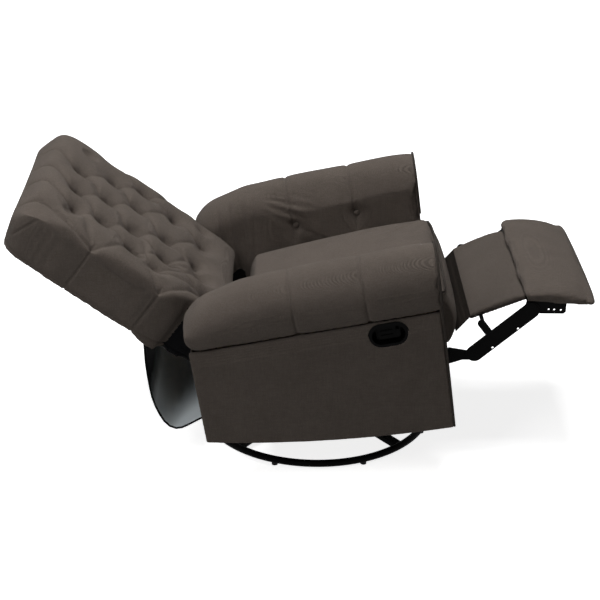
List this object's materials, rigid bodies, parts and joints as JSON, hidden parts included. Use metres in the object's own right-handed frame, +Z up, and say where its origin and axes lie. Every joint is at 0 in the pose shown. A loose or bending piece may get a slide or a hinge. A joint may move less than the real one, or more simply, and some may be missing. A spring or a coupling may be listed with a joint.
{
  "type": "swivel glider recliner",
  "caption": "Upholstered recliner on a swivelling, gliding ring base, shown fully reclined with its footrest out; tufted back, rolled arms and a recessed release handle.",
  "frame": {"origin": "bottom centre of the bounding box of the reclined chair, on the floor under the seat; the swivel axis is 46 mm in front of it", "axes": "+Z up, -Y the way the sitter faces, +X to the sitter's left"},
  "size_m": [0.8152, 1.4802, 0.7248],
  "materials": {
    "fabric": "matt",
    "lining": "matt",
    "black_steel": "satin black paint",
    "bright_steel": "zinc",
    "black_plastic": "gloss",
    "nylon": "satin",
    "wood": "raw"
  },
  "bodies": {
    "base": {"base_ring": "black_steel", "base_crossbars": "black_steel", "base_glides": "nylon", "swivel_lower_plate": "black_steel", "swivel_post": "bright_steel"},
    "turntable": {"swivel_upper_plate": "black_steel", "glider_base": "black_steel", "glider_top_pins": "bright_steel"},
    "front_links": {"glider_front_links": "black_steel"},
    "rear_links": {"glider_rear_links": "black_steel"},
    "carriage": {"glider_carriage": "black_steel", "carriage_pins": "bright_steel"},
    "seat": {"seat_rails": "wood", "tilt_brackets": "black_steel", "mechanism_plates": "black_steel", "mechanism_pins": "bright_steel", "seat_springs": "bright_steel", "seat_cushion": "fabric", "arm_roll_right": "fabric", "arm_roll_left": "fabric", "arm_outer_right": "fabric", "arm_outer_left": "fabric", "arm_ply_right": "wood", "arm_ply_left": "wood", "arm_posts_right": "wood", "arm_posts_left": "wood", "arm_front_right": "fabric", "arm_front_left": "fabric", "arm_welt_right": "fabric", "arm_welt_left": "fabric", "arm_buttons": "fabric", "rear_rail": "wood", "rear_skirt": "lining", "handle_cup": "black_plastic", "release_cable": "black_plastic"},
    "back": {"back_cushion": "fabric", "back_buttons": "fabric", "back_shell": "fabric", "back_frame": "wood", "back_brackets": "black_steel"},
    "thigh": {"thigh_links": "black_steel"},
    "shin": {"shin_links": "black_steel", "mid_panel": "fabric", "bridge_flap": "fabric"},
    "footpad": {"pad_brackets": "black_steel", "footrest_board": "wood", "footrest_pad": "fabric"},
    "handle": {"handle_paddle": "black_plastic"}
  },
  "joints": [
    {"name": "swivel", "type": "hinge", "parent": "base", "child": "turntable", "pos_m": [0, -0.046, 0.055], "axis": [0, 0, 1], "continuous": true},
    {"name": "glide", "type": "hinge", "parent": "turntable", "child": "front_links", "pos_m": [0, -0.166, 0.218], "axis": [1, 0, 0], "range_deg": [-16, 16]},
    {"name": "glide_rear_links", "type": "hinge", "parent": "turntable", "child": "rear_links", "pos_m": [0, 0.074, 0.218], "axis": [1, 0, 0], "range_deg": [-16, 16]},
    {"name": "glide_carriage", "type": "hinge", "parent": "front_links", "child": "carriage", "pos_m": [0, -0.166, 0.108], "axis": [1, 0, 0], "range_deg": [-16, 16]},
    {"name": "body_tilt", "type": "hinge", "parent": "carriage", "child": "seat", "pos_m": [0, -0.196, 0.203], "axis": [1, 0, 0], "range_deg": [0, 5]},
    {"name": "recline", "type": "hinge", "parent": "seat", "child": "back", "pos_m": [0, 0.164, 0.313], "axis": [1, 0, 0], "range_deg": [0, 34]},
    {"name": "footrest", "type": "hinge", "parent": "seat", "child": "thigh", "pos_m": [0, -0.246, 0.303], "axis": [1, 0, 0], "range_deg": [0, 70]},
    {"name": "footrest_knee", "type": "hinge", "parent": "thigh", "child": "shin", "pos_m": [0, -0.442, 0.304], "axis": [1, 0, 0], "range_deg": [-92, 0]},
    {"name": "footrest_pad_tilt", "type": "hinge", "parent": "shin", "child": "footpad", "pos_m": [0, -0.579, 0.423], "axis": [1, 0, 0], "range_deg": [0, 108]},
    {"name": "release_handle", "type": "hinge", "parent": "seat", "child": "handle", "pos_m": [-0.372, -0.1854, 0.41844], "axis": [0, -0.1754, -0.9845], "range_deg": [0, 25], "stiffness_Nm_per_rad": 0.2}
  ],
  "couplings": [
    {"joint": "glide_rear_links", "follows": "glide", "ratio": 1},
    {"joint": "glide_carriage", "follows": "glide", "ratio": -1},
    {"joint": "body_tilt", "follows": "recline", "ratio": 0.14706},
    {"joint": "footrest_knee", "follows": "footrest", "ratio": -1.3143},
    {"joint": "footrest_pad_tilt", "follows": "footrest", "ratio": 1.5429}
  ]
}
